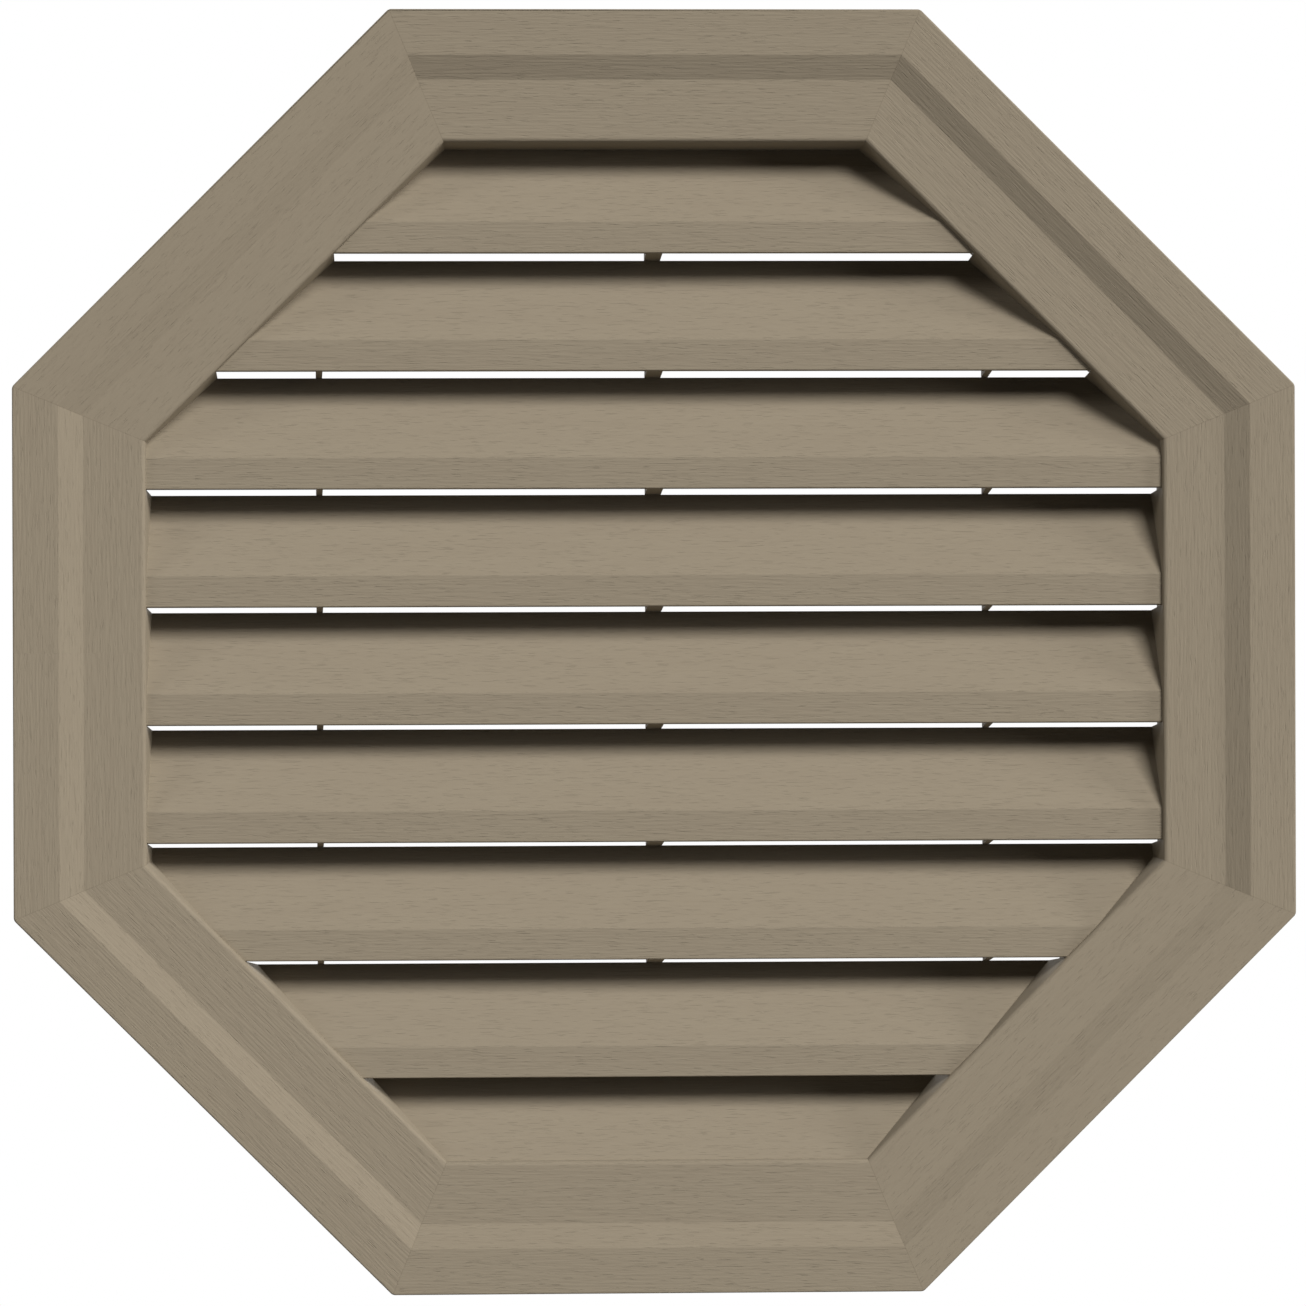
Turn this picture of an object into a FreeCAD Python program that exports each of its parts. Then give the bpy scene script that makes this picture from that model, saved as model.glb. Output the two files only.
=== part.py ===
import FreeCAD, Part
import math
import os

os.makedirs("parts", exist_ok=True)

# Octagonal louvred gable vent, moulded in one piece. Sizes are in mm.
# The origin is the centre of the octagon on the wall plane. The front faces -Y and +Z is up.

# Face frame
ACROSS_FLATS = 558.8      # outer octagon at the rim that meets the wall
PROJECTION = 28.0         # from the wall plane to the front of the frame
OUTER_BAND = 19.8         # raised flat round the outside
BEVEL_WIDTH = 10.6        # sloping band between the two flats
BEVEL_DROP = 4.0          # how far the inner flat lies behind the outer one
INNER_BAND = 26.9         # flat and rounded lip, from the bevel to the mouth of the throat
SKIRT_DRAFT = 1.0         # degrees, the outside grows towards the wall
FRAME_WALL = 2.6          # moulded wall of the frame
CORNER_RADIUS = 3.0       # the octagon's eight outer corners
EDGE_RADIUS = 0.8         # outer front edge
BEVEL_RADIUS = 1.0        # both edges of the bevel
MOUTH_RADIUS = 2.0        # lip of the throat's mouth

# Stiffening webs behind the frame
WEB_THICKNESS = 2.0
WEB_SPACING = 110.0       # between the two webs of one side
WEB_SETBACK = 6.0         # the webs stop this far short of the wall plane

# Throat, which holds the slats and whose back end enters the opening cut in the wall
THROAT_STEP = 4.0         # from the mouth out to the throat's outside, at the wall plane
THROAT_WALL = 2.4
THROAT_REACH = 14.0       # how far the throat goes past the wall plane
THROAT_DRAFT = 1.0        # degrees, the outside narrows towards the back
FRONT_CELL_DRAFT = 5.0    # degrees, the cells in front of the slats narrow towards the back
REAR_CELL_DRAFT = 1.0     # degrees, the cells behind the slats widen towards the back

# Louvre slats
SLAT_COUNT = 8            # slats with a nose, above the sill
TOP_NOSE_DROP = 48.1      # from the mouth's top edge to the bottom of the first nose
NOSE_SETBACK = 3.4        # from the inner flat back to the noses
NOSE_HEIGHT = 13.6
SLAT_RUN = 24.0           # depth of the sloping part
SLAT_WALL = 2.6
SIGHT_GAP = 2.5           # a nose ends this far above the back edge of the slat below
SILL_GAP = 1.0            # the same at the sill
REAR_LAND = 1.0           # flat at the back edge of each slat
NOSE_TOP_RADIUS = 1.2
NOSE_BOTTOM_RADIUS = 0.6
HOLLOW_RADIUS = 1.0       # corner behind each nose

# Ribs that tie the slats together at the back
CENTRE_RIB = 7.0
SIDE_RIB = 2.8
SIDE_RIB_OFFSET = 146.0   # from the centre line to the middle of a side rib

SIDES = 8
HALF_CORNER = math.radians(180.0 / SIDES)
REACH = ACROSS_FLATS      # longer than anything that a cutting form passes through


def draft(length, degrees):
    return length * math.tan(math.radians(degrees))


# Depths along Y
FRONT_Y = -PROJECTION
INNER_Y = FRONT_Y + BEVEL_DROP
NOSE_Y = INNER_Y + NOSE_SETBACK
BACK_Y = NOSE_Y + SLAT_RUN
REAR_Y = BACK_Y + REAR_LAND
THROAT_END_Y = THROAT_REACH

# Distances from the centre to the middle of a side
RIM = ACROSS_FLATS / 2
FRONT_EDGE = RIM - draft(PROJECTION, SKIRT_DRAFT)
BEVEL_TOP = FRONT_EDGE - OUTER_BAND
BEVEL_FOOT = BEVEL_TOP - BEVEL_WIDTH
MOUTH = BEVEL_FOOT - INNER_BAND
THROAT = MOUTH + THROAT_STEP

# Heights of the slats: the bank fills the mouth, from the first nose down to the sill
TOP_NOSE_Z = MOUTH - TOP_NOSE_DROP
SILL_Z = draft(NOSE_SETBACK, FRONT_CELL_DRAFT) - MOUTH
BANK_HEIGHT = TOP_NOSE_Z - SILL_Z + NOSE_HEIGHT + SIGHT_GAP - SILL_GAP
PITCH = BANK_HEIGHT / SLAT_COUNT
RISE = PITCH - NOSE_HEIGHT - SIGHT_GAP
SLAT_ANGLE = math.atan2(RISE, SLAT_RUN)


def nose_z(slat):
    return TOP_NOSE_Z - slat * PITCH


def slope_z(slat):
    if slat == SLAT_COUNT:
        return SILL_Z
    return nose_z(slat) + NOSE_HEIGHT


def upper_face_z(slat, y):
    return slope_z(slat) + (y - NOSE_Y) * RISE / SLAT_RUN


def under_face_z(slat, y):
    return upper_face_z(slat, y) - SLAT_WALL / math.cos(SLAT_ANGLE)


def part_line_z(slat, y):
    """Height of the surface where the front cell and the rear cell under one slat meet."""
    drop = nose_z(slat) - upper_face_z(slat + 1, BACK_Y)
    return nose_z(slat) - drop * (y - NOSE_Y) / SLAT_RUN


def rounded_face(corners):
    """Flat face at X = 0 from (y, z, radius) corners, each rounded by its radius."""
    points = [FreeCAD.Vector(0, y, z) for y, z, radius in corners]
    edges = []
    ends = []
    for i, (y, z, radius) in enumerate(corners):
        corner = points[i]
        to_last = (points[i - 1] - corner).normalize()
        to_next = (points[(i + 1) % len(points)] - corner).normalize()
        if radius == 0:
            ends.append((corner, corner))
            continue
        half = to_last.getAngle(to_next) / 2
        start = corner + to_last * (radius / math.tan(half))
        stop = corner + to_next * (radius / math.tan(half))
        inward = (to_last + to_next).normalize()
        middle = corner + inward * (radius / math.sin(half) - radius)
        edges.append(Part.Arc(start, middle, stop).toShape())
        ends.append((start, stop))
    for i, (start, stop) in enumerate(ends):
        edges.append(Part.LineSegment(stop, ends[(i + 1) % len(ends)][0]).toShape())
    return Part.Face(Part.Wire(Part.__sortEdges__(edges)))


def extrude(face, x_from, x_to):
    prism = face.extrude(FreeCAD.Vector(x_to - x_from, 0, 0))
    prism.translate(FreeCAD.Vector(x_from, 0, 0))
    return prism


def flat_face(points):
    return Part.Face(Part.makePolygon(points + points[:1]))


def octagon(apothem, y):
    radius = apothem / math.cos(HALF_CORNER)
    angles = [HALF_CORNER * (2 * i + 1) for i in range(SIDES)]
    return [FreeCAD.Vector(radius * math.cos(a), y, radius * math.sin(a)) for a in angles]


def frustum(apothem_1, y_1, apothem_2, y_2):
    """Tapered octagonal prism between two depths."""
    front = octagon(apothem_1, y_1)
    rear = octagon(apothem_2, y_2)
    faces = [flat_face(front), flat_face(rear)]
    for i in range(SIDES):
        faces.append(flat_face([front[i - 1], front[i], rear[i], rear[i - 1]]))
    return Part.makeSolid(Part.makeShell(faces))


def mitre_wedge():
    """The eighth of space around +Z, between two mitre planes."""
    half_width = REACH * math.tan(HALF_CORNER)
    triangle = flat_face([
        FreeCAD.Vector(0, -REACH, 0),
        FreeCAD.Vector(half_width, -REACH, REACH),
        FreeCAD.Vector(-half_width, -REACH, REACH),
    ])
    return triangle.extrude(FreeCAD.Vector(0, 2 * REACH, 0))


def frame_section():
    """Cross-section of the frame's face and skirt, with the hollow side towards the wall."""
    bevel_angle = math.atan2(BEVEL_DROP, BEVEL_WIDTH)
    shift = FRAME_WALL * math.tan(bevel_angle / 2)
    inside = THROAT - FRAME_WALL / 2
    return rounded_face([
        (0, RIM, 0),
        (FRONT_Y, FRONT_EDGE, EDGE_RADIUS),
        (FRONT_Y, BEVEL_TOP, BEVEL_RADIUS),
        (INNER_Y, BEVEL_FOOT, BEVEL_RADIUS),
        (INNER_Y, inside, 0),
        (INNER_Y + FRAME_WALL, inside, 0),
        (INNER_Y + FRAME_WALL, BEVEL_FOOT + shift, 0),
        (FRONT_Y + FRAME_WALL, BEVEL_TOP + shift, 0),
        (FRONT_Y + FRAME_WALL, FRONT_EDGE - FRAME_WALL, 0),
        (0, RIM - FRAME_WALL, 0),
    ])


def web_section():
    """Cross-section of the hollow behind the frame, down to where a web stops."""
    sunk = FRAME_WALL / 2
    return rounded_face([
        (INNER_Y + sunk, THROAT - sunk, 0),
        (INNER_Y + sunk, BEVEL_FOOT, 0),
        (FRONT_Y + sunk, BEVEL_TOP, 0),
        (FRONT_Y + sunk, FRONT_EDGE - sunk, 0),
        (-WEB_SETBACK, FRONT_EDGE - sunk, 0),
        (-WEB_SETBACK, THROAT - sunk, 0),
    ])


def frame_side():
    """One side of the frame with its two webs, cut off at the mitres."""
    side = extrude(frame_section(), -REACH, REACH)
    for x in (-WEB_SPACING / 2, WEB_SPACING / 2):
        web = extrude(web_section(), x - WEB_THICKNESS / 2, x + WEB_THICKNESS / 2)
        side = side.fuse(web)
    return side.common(mitre_wedge())


def frame():
    side = frame_side()
    sides = []
    for i in range(SIDES):
        turned = side.copy()
        turned.rotate(FreeCAD.Vector(0, 0, 0), FreeCAD.Vector(0, 1, 0), i * 360.0 / SIDES)
        sides.append(turned)
    return sides[0].multiFuse(sides[1:])


def throat_outside(y):
    return THROAT - draft(y, THROAT_DRAFT)


def throat_block():
    """The throat as a full block, before anything is taken out of it."""
    return frustum(throat_outside(INNER_Y), INNER_Y, throat_outside(THROAT_END_Y), THROAT_END_Y)


def front_cells():
    """Everything open to the front: the mouth, and the cell above each slat."""
    front = INNER_Y - FRAME_WALL
    corners = [(front, MOUTH + FRAME_WALL, 0), (BACK_Y, MOUTH + FRAME_WALL, 0)]
    for slat in range(SLAT_COUNT):
        corners.append((BACK_Y, upper_face_z(slat, BACK_Y), 0))
        corners.append((NOSE_Y, slope_z(slat), NOSE_TOP_RADIUS))
        corners.append((NOSE_Y, nose_z(slat), NOSE_BOTTOM_RADIUS))
    corners.append((BACK_Y, upper_face_z(SLAT_COUNT, BACK_Y), 0))
    corners.append((front, upper_face_z(SLAT_COUNT, front), 0))
    comb = extrude(rounded_face(corners), -REACH, REACH)
    wide = MOUTH + draft(FRAME_WALL, FRONT_CELL_DRAFT)
    narrow = MOUTH - draft(BACK_Y - INNER_Y, FRONT_CELL_DRAFT)
    return comb.common(frustum(wide, front, narrow, BACK_Y))


def rear_cell_face(slat):
    """Outline of the hollow behind one slat, open to the back."""
    nose_back = NOSE_Y + SLAT_WALL
    if slat == SLAT_COUNT:
        return rounded_face([
            (nose_back, under_face_z(slat, nose_back), 0),
            (REAR_Y, under_face_z(slat, REAR_Y), 0),
            (REAR_Y, -REACH, 0),
            (nose_back, -REACH, 0),
        ])
    shelf = upper_face_z(slat + 1, BACK_Y)
    return rounded_face([
        (nose_back, part_line_z(slat, nose_back), 0),
        (nose_back, under_face_z(slat, nose_back), HOLLOW_RADIUS),
        (REAR_Y, under_face_z(slat, REAR_Y), 0),
        (REAR_Y, shelf, 0),
        (BACK_Y, shelf, 0),
    ])


def rear_cells():
    """The hollows behind the slats, with the ribs left standing, and the open back end of the throat."""
    half_centre = CENTRE_RIB / 2
    inner = SIDE_RIB_OFFSET - SIDE_RIB / 2
    outer = SIDE_RIB_OFFSET + SIDE_RIB / 2
    bays = ((-REACH, -outer), (-inner, -half_centre), (half_centre, inner), (outer, REACH))
    prisms = []
    for slat in range(SLAT_COUNT + 1):
        face = rear_cell_face(slat)
        for x_from, x_to in bays:
            prisms.append(extrude(face, x_from, x_to))
    rear = throat_outside(THROAT_END_Y) - THROAT_WALL
    front = rear - draft(THROAT_END_Y - NOSE_Y, REAR_CELL_DRAFT)
    inside = frustum(front, NOSE_Y, rear, THROAT_END_Y)
    open_end = extrude(rounded_face([
        (REAR_Y, -REACH, 0),
        (REAR_Y, REACH, 0),
        (THROAT_END_Y, REACH, 0),
        (THROAT_END_Y, -REACH, 0),
    ]), -REACH, REACH)
    return Part.makeCompound(prisms).common(inside).fuse(open_end.common(inside))


def mouth_edges(body):
    """The eight edges where the inner flat turns into the throat."""
    edges = []
    for edge in body.Edges:
        middle = edge.CenterOfMass
        from_centre = math.hypot(middle.x, middle.z)
        if abs(middle.y - INNER_Y) < 0.001 and abs(from_centre - MOUTH) < 0.01:
            edges.append(edge)
    return edges


def corner_edges(body):
    """The eight outer corners of the skirt, from the rim to the rounded front edge."""
    inside = (FRONT_EDGE - FRAME_WALL / 2) / math.cos(HALF_CORNER)
    edges = []
    for edge in body.Edges:
        middle = edge.CenterOfMass
        if edge.BoundBox.YLength > PROJECTION / 2 and math.hypot(middle.x, middle.z) > inside:
            edges.append(edge)
    return edges


def vent_body():
    body = frame().fuse(throat_block())
    body = body.cut([front_cells(), rear_cells()]).removeSplitter()
    body = body.makeFillet(MOUTH_RADIUS, mouth_edges(body))
    return body.makeFillet(CORNER_RADIUS, corner_edges(body))


body = vent_body()
body.exportStep("parts/vent_body.step")
print("solids", len(body.Solids), "valid", body.isValid(), "volume cm3", round(body.Volume / 1000, 1))
print("pitch", round(PITCH, 2), "slope degrees", round(math.degrees(SLAT_ANGLE), 1))
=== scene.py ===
import math

import bpy
from mathutils import Matrix, Vector


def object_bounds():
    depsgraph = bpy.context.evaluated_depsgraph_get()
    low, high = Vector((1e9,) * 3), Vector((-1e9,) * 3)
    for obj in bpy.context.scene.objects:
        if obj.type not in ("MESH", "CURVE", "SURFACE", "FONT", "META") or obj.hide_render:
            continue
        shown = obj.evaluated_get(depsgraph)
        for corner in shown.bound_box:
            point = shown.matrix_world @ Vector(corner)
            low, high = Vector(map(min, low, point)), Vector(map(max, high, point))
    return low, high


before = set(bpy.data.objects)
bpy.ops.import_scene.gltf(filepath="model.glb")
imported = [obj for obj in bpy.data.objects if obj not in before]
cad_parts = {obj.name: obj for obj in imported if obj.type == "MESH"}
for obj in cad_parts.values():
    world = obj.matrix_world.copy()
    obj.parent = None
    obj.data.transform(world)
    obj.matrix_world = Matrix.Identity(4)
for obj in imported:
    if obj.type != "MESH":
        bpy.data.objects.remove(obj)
cad_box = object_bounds()

# Sizes are in metres. The vent faces -Y, its centre is the origin and +Z is up.

FRONT_Y = cad_box[0].y      # front of the frame
LIP_APOTHEM = 0.2215        # from the centre to the edge of the mouth
SIDES = 8
SIDE_TURN = 2 * math.pi / SIDES     # from one side of the frame to the next

# Colours, linear
CLAY = (0.270, 0.226, 0.164)
CLAY_LIGHT = (0.277, 0.233, 0.169)
CLAY_DARK = (0.262, 0.218, 0.158)
CREASE = (0.195, 0.158, 0.110)
CREASE_SHARE = 0.6          # how much of the crease's colour shows at a mitre
MITRE_LINE = 0.00025        # half-width of the fine line where two sides of the frame meet
WALL_VARIATION = 0.4        # share of the grain's colour variation that the plain walls have

# Wood grain moulded into the face
GRAIN_PITCH = 0.0009        # from one grain line to the next
GRAIN_STREAK = 0.015        # length of one streak along the grain
GRAIN_DETAIL = 2.0
GRAIN_DEPTH = 0.00023
WALL_RELIEF = 0.15          # share of that depth that the plain walls have
FIGURE_PITCH = 0.010        # broad, faint bands of tone
FIGURE_STREAK = 0.110
FIGURE_DETAIL = 3.0
LINES_IN_TONE = 0.6         # shares of the fine lines and the broad bands in the colour
FIGURE_IN_TONE = 0.4
NOISE_SPAN = (0.3, 0.7)     # where most of a noise's values lie
PORE_SIZE = 0.5             # beside the grain lines
PORE_DETAIL = 1.0
PORE_SPAN = (0.62, 0.75)    # noise values where a pore begins and where it is full
PORE_TONE = 0.5             # share of the dark colour in a pore
PORE_DEPTH = 0.6            # beside the grain lines
SIDE_SHIFT = 0.73           # moves the grain along from side to side, so that it doesn't repeat
WALL_OUTWARD = 0.8          # a normal this far outward or inward is a wall's
FACE_SPAN = (-0.25, -0.45)  # the normal's Y where the plain walls end and where the face begins

# Matt plastic
SHINE = 0.08                # how strongly it reflects, as a shader level
PLASTIC_IOR = 1.49
MATT_FACE = 0.72            # roughness of the grained face
MATT_CHANGE = 0.05          # how far the grain changes that roughness
SMOOTH_WALL = 0.55          # roughness of the plain walls
SOFT_EDGE = 0.0003          # radius at which the shading rounds the moulded edges
SOFT_EDGE_SAMPLES = 2

# Camera: it stands a little to the left of the vent, and its roll follows the photo
CAMERA_DISTANCE = 3.4
CAMERA_X = -0.1697
CAMERA_Z = 0.0210
CAMERA_YAW = math.radians(2.83)
CAMERA_PITCH = math.radians(-0.364)
CAMERA_ROLL = math.radians(0.172)
CAMERA_SENSOR = 36.0        # width, in millimetres
CAMERA_FAR = 50.0
PHOTO_WIDTH = 0.56650       # what the photo's width covers at the front of the frame

# Light
LAMP_DISTANCE = 40.0
LAMPS = (
    # name, degrees to the right of straight in front, degrees up, size, power
    ("key", 26.5, 32.6, 14.0, 16200.0),
    ("side", 72.0, 8.0, 10.0, 7000.0),      # brightens the edges that face right
    ("fill", -60.0, 25.0, 12.0, 2500.0),    # for the walls that face left
    ("back", 180.0, 50.0, 12.0, 3000.0),    # so that the back can be seen from behind
)
ROOM_LIGHT = ((1.0, 0.78, 0.45), 0.004)     # weak and warm
BACKGROUND = ((1.0, 1.0, 1.0), 1.0)

FLOOR_Z = -0.60
FLOOR_HALF = 3.0
FLOOR_PALE = (0.84, 0.84, 0.84)
FLOOR_PALE_LOW = (0.80, 0.80, 0.80)
FLOOR_DULL = (0.12, 0.12, 0.12)     # what the floor gives back to the vent as light
FLOOR_DETAIL = 2.0
FLOOR_ROUGHNESS = 0.9

# Places of the colour sockets on Blender's Mix node
MIX_A, MIX_B, MIX_RESULT = 6, 7, 2


class NodeTree:
    """Small helper that adds and links the nodes of one tree."""

    def __init__(self, owner):
        owner.use_nodes = True
        self.tree = owner.node_tree
        self.tree.nodes.clear()

    def add(self, kind, **settings):
        node = self.tree.nodes.new(kind)
        for key, value in settings.items():
            setattr(node, key, value)
        return node

    def link(self, source, target):
        self.tree.links.new(source, target)

    def put(self, value, socket):
        """Links a node's output to a socket, or sets the socket's own value."""
        if isinstance(value, bpy.types.NodeSocket):
            self.link(value, socket)
        elif isinstance(value, tuple):
            socket.default_value = (*value, 1.0)
        else:
            socket.default_value = value

    def math(self, operation, *values):
        node = self.add("ShaderNodeMath", operation=operation)
        for value, socket in zip(values, node.inputs):
            self.put(value, socket)
        return node.outputs[0]

    def mix(self, factor, first, second):
        """The first colour at factor 0 and the second at factor 1."""
        node = self.add("ShaderNodeMix", data_type="RGBA")
        self.put(factor, node.inputs["Factor"])
        self.put(first, node.inputs[MIX_A])
        self.put(second, node.inputs[MIX_B])
        return node.outputs[MIX_RESULT]

    def noise(self, vector, detail):
        node = self.add("ShaderNodeTexNoise")
        self.put(vector, node.inputs["Vector"])
        self.put(1.0, node.inputs["Scale"])
        self.put(detail, node.inputs["Detail"])
        return node.outputs["Fac"]

    def vector(self, x, y, z):
        node = self.add("ShaderNodeCombineXYZ")
        for value, socket in zip((x, y, z), node.inputs):
            self.put(value, socket)
        return node.outputs[0]

    def split(self, vector):
        node = self.add("ShaderNodeSeparateXYZ")
        self.put(vector, node.inputs[0])
        return node.outputs

    def range(self, value, low, high, to_low=0.0, to_high=1.0):
        """Carries values from low to high over to the range from to_low to to_high."""
        node = self.add("ShaderNodeMapRange", clamp=True)
        for number, socket in zip((value, low, high, to_low, to_high), node.inputs):
            self.put(number, socket)
        return node.outputs[0]


class Grain:
    """Where the wood grain runs: along each side of the frame, and along the slats."""

    def __init__(self, nodes):
        self.nodes = nodes
        place = nodes.add("ShaderNodeTexCoord")
        x, y, z = nodes.split(place.outputs["Object"])
        normal_x, normal_y, normal_z = nodes.split(place.outputs["Normal"])

        # the side of the frame that a point belongs to, and its place on that side
        side = nodes.math("ROUND", nodes.math("DIVIDE", nodes.math("ARCTAN2", z, x), SIDE_TURN))
        turn = nodes.math("MULTIPLY", side, SIDE_TURN)
        cos_turn = nodes.math("COSINE", turn)
        sin_turn = nodes.math("SINE", turn)
        z_part = nodes.math("MULTIPLY", z, sin_turn)
        apothem = nodes.math("MULTIPLY_ADD", x, cos_turn, z_part)
        x_part = nodes.math("MULTIPLY", x, sin_turn)
        sideways = nodes.math("SUBTRACT", nodes.math("MULTIPLY", z, cos_turn), x_part)
        normal_z_part = nodes.math("MULTIPLY", normal_z, sin_turn)
        outward = nodes.math("MULTIPLY_ADD", normal_x, cos_turn, normal_z_part)

        on_flat = nodes.math("GREATER_THAN", apothem, LIP_APOTHEM)
        on_wall = nodes.math("GREATER_THAN", nodes.math("ABSOLUTE", outward), WALL_OUTWARD)
        self.on_frame = nodes.math("MAXIMUM", on_flat, on_wall)
        self.on_face = nodes.range(normal_y, *FACE_SPAN)
        self.along = self.choose(nodes.math("MULTIPLY_ADD", side, SIDE_SHIFT, sideways), x)
        self.across = self.choose(apothem, z)
        self.depth = y

        half_side = nodes.math("MULTIPLY", apothem, math.tan(SIDE_TURN / 2))
        to_mitre = nodes.math("SUBTRACT", half_side, nodes.math("ABSOLUTE", sideways))
        near_mitre = nodes.range(to_mitre, 0.0, MITRE_LINE, 1.0, 0.0)
        self.on_mitre = nodes.math("MULTIPLY", near_mitre, on_flat)

    def choose(self, frame_value, slat_value):
        """One value on the frame and another on the slats."""
        difference = self.nodes.math("SUBTRACT", frame_value, slat_value)
        return self.nodes.math("MULTIPLY_ADD", difference, self.on_frame, slat_value)

    def by_face(self, wall_value, face_value):
        """One value on the plain walls and another on the grained face."""
        return self.nodes.range(self.on_face, 0.0, 1.0, wall_value, face_value)

    def noise(self, streak, pitch, detail):
        """Noise drawn out along the grain."""
        stretched = self.nodes.vector(
            self.nodes.math("DIVIDE", self.along, streak),
            self.nodes.math("DIVIDE", self.across, pitch),
            self.nodes.math("DIVIDE", self.depth, pitch),
        )
        return self.nodes.noise(stretched, detail)


def clay_plastic():
    """Matt moulded plastic in a clay colour, with wood grain moulded into its face."""
    material = bpy.data.materials.new("clay_plastic")
    nodes = NodeTree(material)
    grain = Grain(nodes)
    lines = grain.noise(GRAIN_STREAK, GRAIN_PITCH, GRAIN_DETAIL)
    figure = grain.noise(FIGURE_STREAK, FIGURE_PITCH, FIGURE_DETAIL)
    fine = grain.noise(GRAIN_STREAK * PORE_SIZE, GRAIN_PITCH * PORE_SIZE, PORE_DETAIL)
    pores = nodes.range(fine, *PORE_SPAN)

    figure_part = nodes.math("MULTIPLY", figure, FIGURE_IN_TONE)
    tone = nodes.math("MULTIPLY_ADD", lines, LINES_IN_TONE, figure_part)
    colour = nodes.mix(nodes.range(tone, *NOISE_SPAN), CLAY_DARK, CLAY_LIGHT)
    colour = nodes.mix(nodes.math("MULTIPLY", pores, PORE_TONE), colour, CLAY_DARK)
    colour = nodes.mix(grain.by_face(WALL_VARIATION, 1.0), CLAY, colour)
    colour = nodes.mix(nodes.math("MULTIPLY", grain.on_mitre, CREASE_SHARE), colour, CREASE)

    matt = nodes.range(lines, *NOISE_SPAN, MATT_FACE + MATT_CHANGE, MATT_FACE - MATT_CHANGE)
    above_wall = nodes.math("SUBTRACT", matt, SMOOTH_WALL)
    roughness = nodes.math("MULTIPLY_ADD", above_wall, grain.on_face, SMOOTH_WALL)

    height = nodes.math("SUBTRACT", lines, nodes.math("MULTIPLY", pores, PORE_DEPTH))
    edges = nodes.add("ShaderNodeBevel", samples=SOFT_EDGE_SAMPLES)
    nodes.put(SOFT_EDGE, edges.inputs["Radius"])
    bump = nodes.add("ShaderNodeBump")
    nodes.put(grain.by_face(WALL_RELIEF, 1.0), bump.inputs["Strength"])
    nodes.put(GRAIN_DEPTH, bump.inputs["Distance"])
    nodes.put(height, bump.inputs["Height"])
    nodes.put(edges.outputs[0], bump.inputs["Normal"])

    shader = nodes.add("ShaderNodeBsdfPrincipled")
    nodes.put(colour, shader.inputs["Base Color"])
    nodes.put(roughness, shader.inputs["Roughness"])
    nodes.put(SHINE, shader.inputs["Specular IOR Level"])
    nodes.put(PLASTIC_IOR, shader.inputs["IOR"])
    nodes.put(bump.outputs[0], shader.inputs["Normal"])

    output = nodes.add("ShaderNodeOutputMaterial")
    nodes.link(shader.outputs[0], output.inputs["Surface"])
    return material


def seen_directly(nodes):
    """1 for a ray from the camera, a reflection or glass, and 0 for one that carries soft light."""
    path = nodes.add("ShaderNodeLightPath")
    seen = nodes.math("MAXIMUM", path.outputs["Is Camera Ray"], path.outputs["Is Glossy Ray"])
    return nodes.math("MAXIMUM", seen, path.outputs["Is Transmission Ray"])


def studio_world():
    """White where it is seen directly, and dim as a light."""
    world = bpy.data.worlds.new("studio")
    nodes = NodeTree(world)
    mix = nodes.add("ShaderNodeMixShader")
    nodes.put(seen_directly(nodes), mix.inputs[0])
    for (colour, strength), socket in zip((ROOM_LIGHT, BACKGROUND), mix.inputs[1:]):
        shade = nodes.add("ShaderNodeBackground")
        nodes.put(colour, shade.inputs["Color"])
        nodes.put(strength, shade.inputs["Strength"])
        nodes.link(shade.outputs[0], socket)
    output = nodes.add("ShaderNodeOutputWorld")
    nodes.link(mix.outputs[0], output.inputs["Surface"])
    bpy.context.scene.world = world


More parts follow.
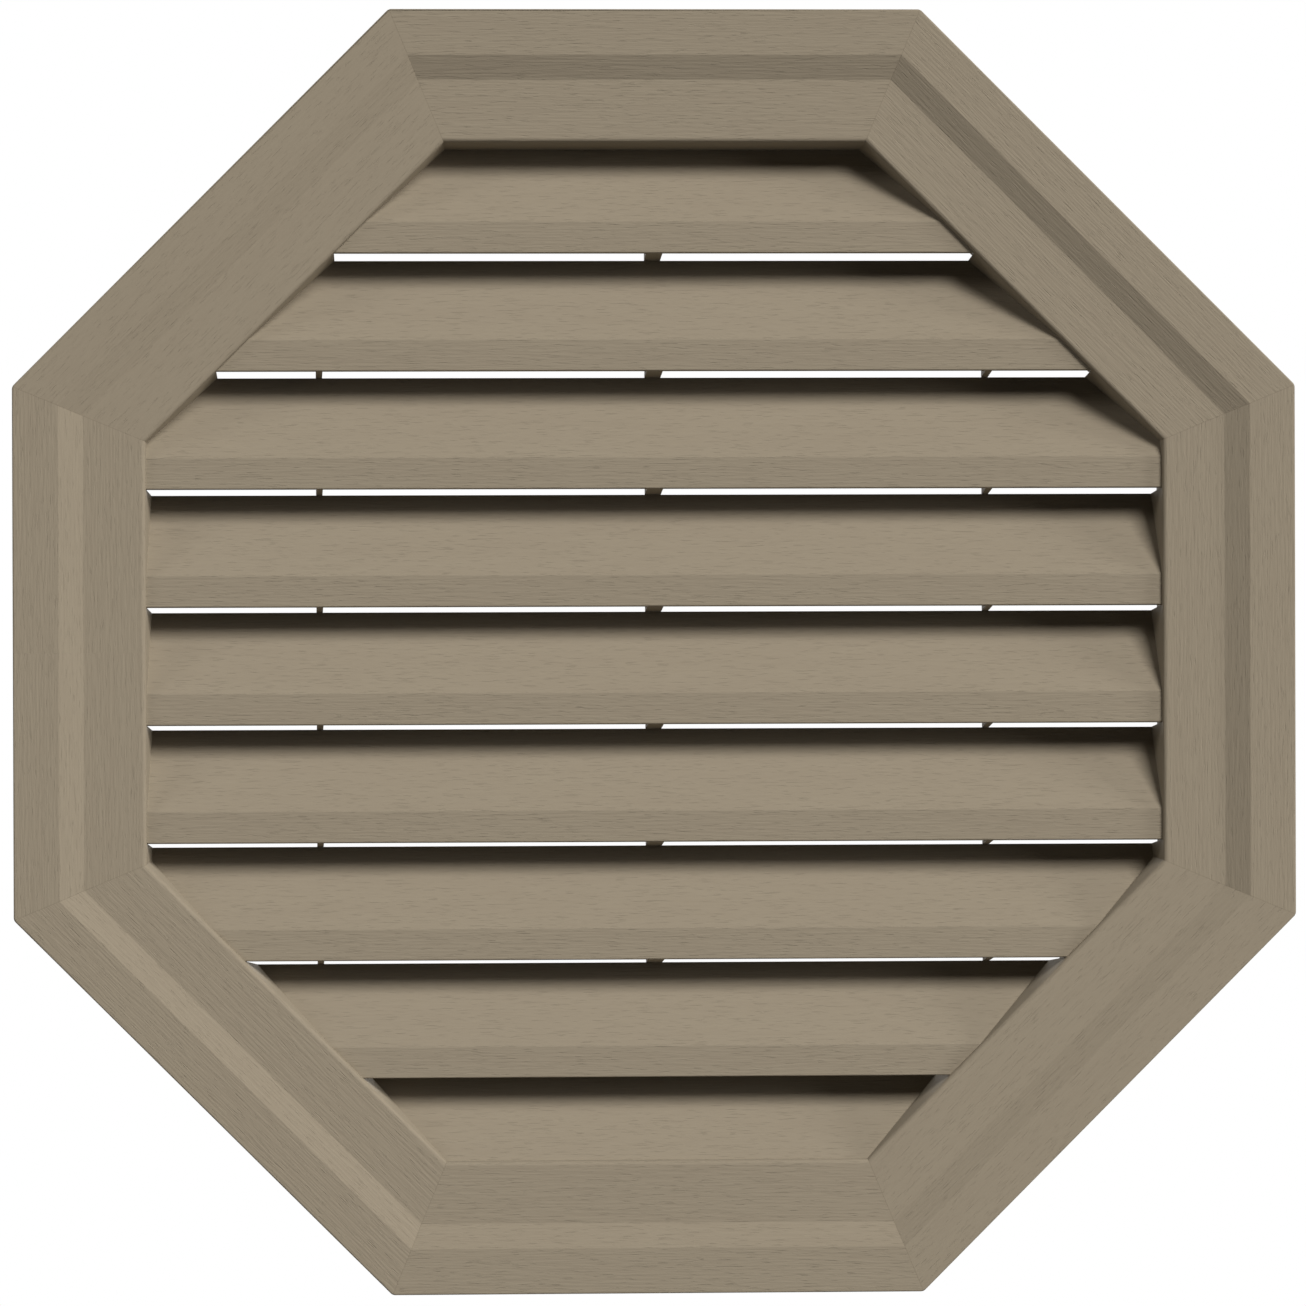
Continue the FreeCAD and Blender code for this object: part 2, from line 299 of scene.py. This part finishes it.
def soft_lamp(name, right, up, size, power):
    """Square area lamp that points at the middle of the vent."""
    right = math.radians(right)
    up = math.radians(up)
    place = LAMP_DISTANCE * Vector((
        math.sin(right) * math.cos(up),
        -math.cos(right) * math.cos(up),
        math.sin(up),
    ))
    data = bpy.data.lights.new(name, "AREA")
    data.shape = "SQUARE"
    data.size = size
    data.energy = power
    lamp = bpy.data.objects.new(name, data)
    lamp.location = place
    lamp.rotation_euler = (-place).to_track_quat("-Z", "Y").to_euler()
    bpy.context.scene.collection.objects.link(lamp)


def camera():
    data = bpy.data.cameras.new("camera")
    data.sensor_width = CAMERA_SENSOR
    data.lens = data.sensor_width * CAMERA_DISTANCE / PHOTO_WIDTH
    data.clip_end = CAMERA_FAR
    obj = bpy.data.objects.new("camera", data)
    turn = Matrix.Rotation(-CAMERA_YAW, 4, "Z")
    tilt = Matrix.Rotation(math.pi / 2 + CAMERA_PITCH, 4, "X")
    roll = Matrix.Rotation(-CAMERA_ROLL, 4, "Z")
    obj.rotation_euler = (turn @ tilt @ roll).to_euler()
    obj.location = (CAMERA_X, FRONT_Y - CAMERA_DISTANCE, CAMERA_Z)
    bpy.context.scene.collection.objects.link(obj)
    bpy.context.scene.camera = obj


def floor():
    """Pale paper that keeps the vent's shadow and lights the vent from below only a little."""
    corners = [(x * FLOOR_HALF, y * FLOOR_HALF, FLOOR_Z)
               for x, y in ((-1, -1), (1, -1), (1, 1), (-1, 1))]
    mesh = bpy.data.meshes.new("floor")
    mesh.from_pydata(corners, [], [(0, 1, 2, 3)])
    obj = bpy.data.objects.new("floor", mesh)
    bpy.context.scene.collection.objects.link(obj)
    paper = bpy.data.materials.new("floor_paper")
    nodes = NodeTree(paper)
    place = nodes.add("ShaderNodeTexCoord").outputs["Object"]
    pale = nodes.mix(nodes.noise(place, FLOOR_DETAIL), FLOOR_PALE_LOW, FLOOR_PALE)
    shader = nodes.add("ShaderNodeBsdfPrincipled")
    nodes.put(nodes.mix(seen_directly(nodes), FLOOR_DULL, pale), shader.inputs["Base Color"])
    nodes.put(FLOOR_ROUGHNESS, shader.inputs["Roughness"])
    output = nodes.add("ShaderNodeOutputMaterial")
    nodes.link(shader.outputs[0], output.inputs["Surface"])
    mesh.materials.append(paper)


plastic = clay_plastic()
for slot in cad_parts["vent_body"].material_slots:
    slot.material = plastic

studio_world()
for lamp_values in LAMPS:
    soft_lamp(*lamp_values)
floor()
camera()

bpy.context.scene.view_settings.view_transform = "Standard"
